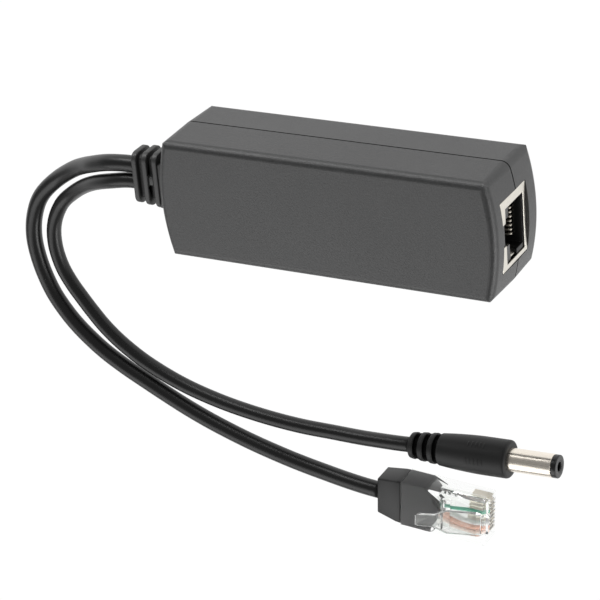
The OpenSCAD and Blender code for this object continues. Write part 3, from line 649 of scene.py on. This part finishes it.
def make_barrel():
    """Nickel sleeve, black ring at its end, rim of the bore, and the bore inside in painted shade.
    """
    sleeve = turned("barrel", from_end(BARREL_LINE, 0.12), NICKEL, "nickel", "dc_plug_sleeve")
    tip = turned("tip_ring", from_end(TIP_LINE, 0.22), BLACK, "black_plastic",
                 "dc_plug_insulator")
    rim = turned("bore_rim", from_end(RIM_LINE, 0.12), GLAND, "gold", "dc_plug_inner_contact")
    bore = turned("bore_end", from_end(BORE_LINE, 0), GROOVE_SHADE, "black_plastic")
    return [sleeve, tip, rim, bore]


def make_power_plug():
    return [make_grip()] + make_barrel() + [make_ridges()]


# Data plug, in millimetres from the boot's rear
PINS = 8
PIN_PITCH = 1.02
PLUG_HALF_W = 11.68 / 2
BOOT_L = 6.4
WIRE_R = 0.44
WIRE_Z = 3.15
WIRE_X = 13.4
WIRE_L = 13
WIRE_STEPS = 10
WIRE_STEPS_ASKEW = 7

# Half outlines of the boot and of its filling: (x, half width, top)
BOOT_SIDE = ((0, 4.7, 6.0), (5, PLUG_HALF_W - 0.22, 6.62), (BOOT_L - 0.01, PLUG_HALF_W - 0.1, 6.62))
FILL_SIDE = ((BOOT_L, 5.62, 6.3), (12.4, 5.62, 6.3), (15.8, 2.2, 6.3))

# Wires: node, pin, y at the filling, slot and material
WIRES = (
    ("plug_wire_1", 1, -3.2, "wire_white_orange", coloured_plastic("wire_1", (1.0, 0.76, 0.66))),
    ("plug_wire_2", 2, -2.3, "wire_orange", ORANGE),
    ("plug_wire_3", 3, -1.2, "wire_white_green", coloured_plastic("wire_3", (0.90, 0.86, 0.86))),
    ("plug_wire_6", 6, 0.2, "wire_green", coloured_plastic("wire_6", (0.12, 0.55, 0.38))))


def pin_y(pin):
    """Place of a contact across the connector, counted from 1."""
    return (pin - (PINS + 1) / 2) * PIN_PITCH


def mirrored(side):
    """Whole outline from the half on one side."""
    return [(x, -y, top) for x, y, top in side] + [(x, y, top) for x, y, top in reversed(side)]


def make_boot():
    """Black boot behind the clear body, and its filling inside the body."""
    boot = slab_mesh("boot", on_data, mirrored(BOOT_SIDE), BOOT, "grip", "data_plug_boot",
                     floor=0.12, edge=0.35)
    fill = slab_mesh("boot_fill", on_data, mirrored(FILL_SIDE), FILL, "grip", floor=0.25,
                     edge=0.25)
    return [boot, fill]


def make_plug_wires():
    """Wires that leave the filling askew and then run straight to their blades."""
    wires = []
    for name, pin, start_y, slot, material in WIRES:
        y = pin_y(pin)
        path = [on_data(WIRE_X + WIRE_L * k / WIRE_STEPS,
                        start_y + (y - start_y) * min(1, k / WIRE_STEPS_ASKEW), WIRE_Z)
                for k in range(WIRE_STEPS + 1)]
        wires.append(ride(tube(name + "_look", path, WIRE_R * MM, material, 16), slot, name))
    return wires


def make_data_plug():
    """Clear body, boot and wires, with the blades as the solid has them."""
    body = softened("data_plug_body", CLEAR, "clear", width=0.28, segments=3)
    dress("data_plug_contacts", GOLD)
    return [body] + make_boot() + make_plug_wires() + [nodes["data_plug_contacts"]]


# Gland: its width against the solid's, and the bridge between two of its ribs
GLAND_NARROWING = 0.976
BRIDGE = ((-45.6, -6.3), (-43.4, -6.4), (-43.4, 4.6), (-45.6, 4.4))
BRIDGE_TOP = 16.3


def narrower(co):
    return Vector((co.x, co.y * GLAND_NARROWING, co.z))


def in_frame(x, y, z):
    return Vector((x, y, z)) * MM


def make_gland():
    gland = softened("cable_gland", GLAND, "gland", width=0.3, segments=3, shape=narrower)
    bridge = slab_mesh("gland_bridge", in_frame, [(x, y, BRIDGE_TOP) for x, y in BRIDGE],
                       GLAND, "gland", floor=GLAND_Z, edge=0.3)
    return [gland, bridge]


# Socket: its face, and the contacts as (x from the face, z)
JACK_X = 40.3
JACK_Y = -0.3
CONTACT_LINE = ((-3.6, 7.75), (-3.05, 7.95), (-2.8, 8.35), (-3.1, 8.65), (-3.9, 8.8), (-4.8, 8.95))
CONTACT_SHIFT = 0.4
CONTACT_R = 0.23


def make_socket():
    softened("jack_shield", SHIELD, "shield", width=0.16, segments=3)
    softened("jack_insert", BLACK, "black_plastic", width=0.1)
    for pin in range(1, PINS + 1):
        y = JACK_Y + pin_y(pin) - CONTACT_SHIFT
        path = smooth_route([(JACK_X + x, y, z) for x, z in CONTACT_LINE], step=0.25)
        wire = tube("socket_wire", path, CONTACT_R * MM, CONTACT, 12)
        ride(wire, "gold", *(("jack_contacts",) if pin == 1 else ()))


def dress_nodes():
    """The shells, and the parts inside them that no view shows with the case closed."""
    component = plastic("component", 0.02, 0.4, 2600, 0.01 * MM)
    ferrite = plastic("ferrite", 0.03, 0.55, 1800, 0.02 * MM)
    can = metal("can", (0.82, 0.83, 0.85), 0.3)
    looks = {
        "top_shell": CASE, "bottom_shell": CASE,
        "circuit_board": coloured_plastic("board", (0.02, 0.17, 0.06)),
        "network_transformer": component, "bridge_rectifiers": component,
        "controller_chip": component, "output_diode": component, "chip_resistors": component,
        "power_transformer_core": ferrite, "output_inductor": ferrite,
        "power_transformer_bobbin": coloured_plastic("bobbin", (0.45, 0.36, 0.22)),
        "power_transformer_winding": coloured_plastic("winding", (0.75, 0.56, 0.12)),
        "input_capacitor": can, "output_capacitors": can,
        "opto_isolator": coloured_plastic("white_chip", (0.70, 0.69, 0.66)),
        "ceramic_capacitors": coloured_plastic("ceramic_chip", (0.42, 0.30, 0.20)),
        "data_leads": ORANGE,
        "power_leads": coloured_plastic("red_lead", (0.55, 0.03, 0.02)),
    }
    for name, material in looks.items():
        dress(name, material)


cord_tubes = make_cord_tubes()
gland_pieces = make_gland()
data_pieces = make_data_plug()
power_pieces = make_power_plug()
make_socket()
dress_nodes()


# Stage and lights
FLOOR_HALF = 3.0
FLOOR_LEVEL = 0.8
FLOOR_ROUGH = 0.9
FLOOR_SEEN = 1.02
WORLD_LIGHT = 0.25
WORLD_SEEN = 1.0
LIGHTS_AIM = (-0.02, -0.02, 0.01)
LIGHTS_AWAY = 1.3

# Lights: name, direction from the part, size in metres and radiance
LIGHTS = (
    ("top_box", (-0.42, -0.58, 0.66), (1.1, 1.1), 1.9),
    ("back_strip", (-0.40, 0.88, 0.24), (1.3, 0.4), 5.5),
    ("right_strip", (0.86, -0.44, 0.26), (1.2, 0.4), 5.5))


def floor_material():
    """Pale floor that is white to the camera, in reflections and through clear plastic."""
    material, tree, shader = new_material("floor")
    shader.inputs["Base Color"].default_value = grey(FLOOR_LEVEL)
    shader.inputs["Roughness"].default_value = FLOOR_ROUGH
    path = tree.nodes.new("ShaderNodeLightPath")
    rays = path.outputs["Is Camera Ray"]
    for other in ("Is Glossy Ray", "Is Transmission Ray"):
        rays = math_node(tree, "MAXIMUM", rays, path.outputs[other])
    glow = tree.nodes.new("ShaderNodeEmission")
    glow.inputs["Color"].default_value = grey(1)
    glow.inputs["Strength"].default_value = FLOOR_SEEN
    mix_shaders(tree, rays, shader.outputs["BSDF"], glow.outputs["Emission"], "Material Output")
    return material


def make_stage():
    corners = [(-FLOOR_HALF, -FLOOR_HALF, 0), (FLOOR_HALF, -FLOOR_HALF, 0),
               (FLOOR_HALF, FLOOR_HALF, 0), (-FLOOR_HALF, FLOOR_HALF, 0)]
    mesh_object("floor", corners, [(0, 1, 2, 3)], floor_material(), False)


def make_world():
    """World that lights the part dimly and gives the camera a pale background."""
    world = bpy.data.worlds.new("world")
    bpy.context.scene.world = world
    world.use_nodes = True
    tree = world.node_tree
    dim = tree.nodes["Background"]
    dim.inputs["Color"].default_value = grey(1)
    dim.inputs["Strength"].default_value = WORLD_LIGHT
    bright = tree.nodes.new("ShaderNodeBackground")
    bright.inputs["Strength"].default_value = WORLD_SEEN
    path = tree.nodes.new("ShaderNodeLightPath")
    mix_shaders(tree, path.outputs["Is Camera Ray"], dim.outputs["Background"],
                bright.outputs["Background"], "World Output")


def make_lights():
    """Softboxes that face the part, each with its radiance whatever its size."""
    for name, toward, size, radiance in LIGHTS:
        data = bpy.data.lights.new(name, "AREA")
        data.shape = "RECTANGLE"
        data.size, data.size_y = size
        data.energy = radiance * math.pi * size[0] * size[1]
        lamp = link(bpy.data.objects.new(name, data))
        lamp.location = Vector(LIGHTS_AIM) + Vector(toward).normalized() * LIGHTS_AWAY
        lamp.rotation_mode = "QUATERNION"
        lamp.rotation_quaternion = (-Vector(toward)).to_track_quat("-Z", "Y")


make_stage()
make_world()
make_lights()
bpy.context.scene.view_settings.view_transform = "Standard"
